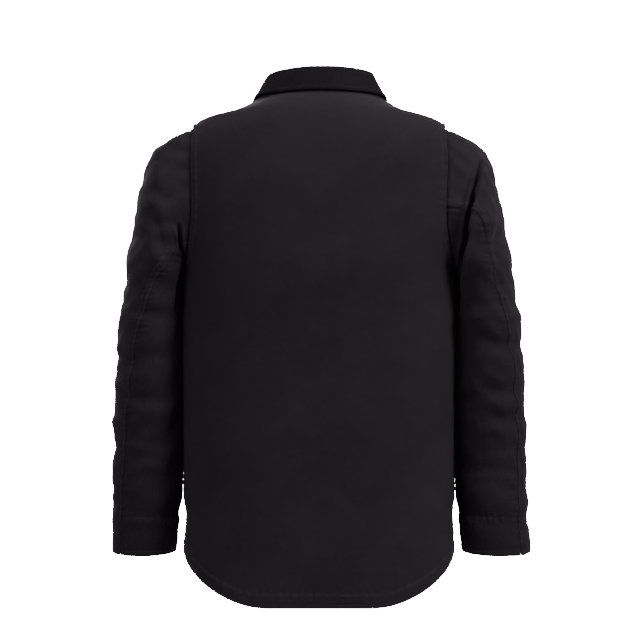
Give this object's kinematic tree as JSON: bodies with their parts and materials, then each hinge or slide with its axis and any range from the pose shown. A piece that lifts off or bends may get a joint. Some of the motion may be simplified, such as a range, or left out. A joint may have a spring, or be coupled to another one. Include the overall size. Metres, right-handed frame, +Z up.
{
  "type": "canvas work jacket",
  "caption": "Zip-fronted canvas welding work jacket with a corduroy collar, drop-tail hem, lined body and sleeves, and flapped pockets.",
  "frame": {"origin": "middle of the underside of the hanger loop at the centre back neck", "axes": "+Z up, -Y towards the wearer's front, +X towards the wearer's left"},
  "size_m": [0.6202, 0.2756, 0.812],
  "materials": {
    "canvas": "matte heavy cotton canvas, washed black",
    "corduroy": "napped fine-wale corduroy, black",
    "lining": "plain-woven cotton lining, charcoal",
    "tape": "woven tape, black",
    "zip_metal": "antique brass, satin",
    "snap_metal": "blackened metal, satin",
    "label": "blank woven satin label, grey"
  },
  "bodies": {
    "torso": {"back_panel": "canvas", "back_hem_facing": "canvas", "back_neck_facing": "canvas", "back_lining": "lining", "front_panel_left": "canvas", "front_facing_left": "canvas", "front_hem_facing_left": "canvas", "front_lining_left": "lining", "front_panel_right": "canvas", "front_facing_right": "canvas", "front_hem_facing_right": "canvas", "front_lining_right": "lining", "collar_stand": "corduroy", "collar_leaf": "corduroy", "chest_pocket_left": "canvas", "chest_snap_stud_left": "snap_metal", "hand_pocket_left": "canvas", "pocket_rivet_front_left": "snap_metal", "pocket_rivet_side_left": "snap_metal", "chest_pocket_right": "canvas", "chest_snap_stud_right": "snap_metal", "hand_pocket_right": "canvas", "pocket_rivet_front_right": "snap_metal", "pocket_rivet_side_right": "snap_metal", "inner_pocket": "lining", "zip_tape_left": "tape", "zip_teeth_left": "zip_metal", "zip_top_stop_left": "zip_metal", "zip_tape_right": "tape", "zip_teeth_right": "zip_metal", "zip_top_stop_right": "zip_metal", "zip_bottom_box": "zip_metal", "inner_wind_flap": "canvas", "hanger_loop": "tape", "size_label": "label"},
    "left_sleeve": {"top_sleeve_left": "canvas", "under_sleeve_left": "canvas", "cuff_facing_left": "canvas", "sleeve_lining_left": "lining"},
    "right_sleeve": {"top_sleeve_right": "canvas", "under_sleeve_right": "canvas", "cuff_facing_right": "canvas", "sleeve_lining_right": "lining"},
    "chest_flap_left": {"chest_flap_left": "canvas", "chest_snap_cap_left": "snap_metal"},
    "chest_flap_right": {"chest_flap_right": "canvas", "chest_snap_cap_right": "snap_metal"},
    "zip_slider": {"zip_slider": "zip_metal"},
    "zip_pull": {"zip_pull": "zip_metal"}
  },
  "joints": [
    {"name": "sleeve_raise_left", "type": "hinge", "parent": "torso", "child": "left_sleeve", "pos_m": [0.1884, -0.039, -0.0774], "axis": [0, -1, 0], "range_deg": [0, 30]},
    {"name": "sleeve_raise_right", "type": "hinge", "parent": "torso", "child": "right_sleeve", "pos_m": [-0.1884, -0.039, -0.0774], "axis": [0, 1, 0], "range_deg": [0, 30]},
    {"name": "chest_flap_lift_left", "type": "hinge", "parent": "torso", "child": "chest_flap_left", "pos_m": [0.10338, -0.15663, -0.16963], "axis": [-0.9852, -0.1714, -0.0055], "range_deg": [0, 140]},
    {"name": "chest_flap_lift_right", "type": "hinge", "parent": "torso", "child": "chest_flap_right", "pos_m": [-0.10338, -0.15663, -0.16963], "axis": [-0.9852, 0.1714, 0.0055], "range_deg": [0, 140]},
    {"name": "zip_slide", "type": "slide", "parent": "torso", "child": "zip_slider", "axis": [0, -0.0902, -0.9959], "range_m": [0, 0.57]},
    {"name": "zip_pull_flip", "type": "hinge", "parent": "zip_slider", "child": "zip_pull", "pos_m": [0, -0.14802, -0.12607], "axis": [-1, 0, 0], "range_deg": [0, 125]}
  ]
}
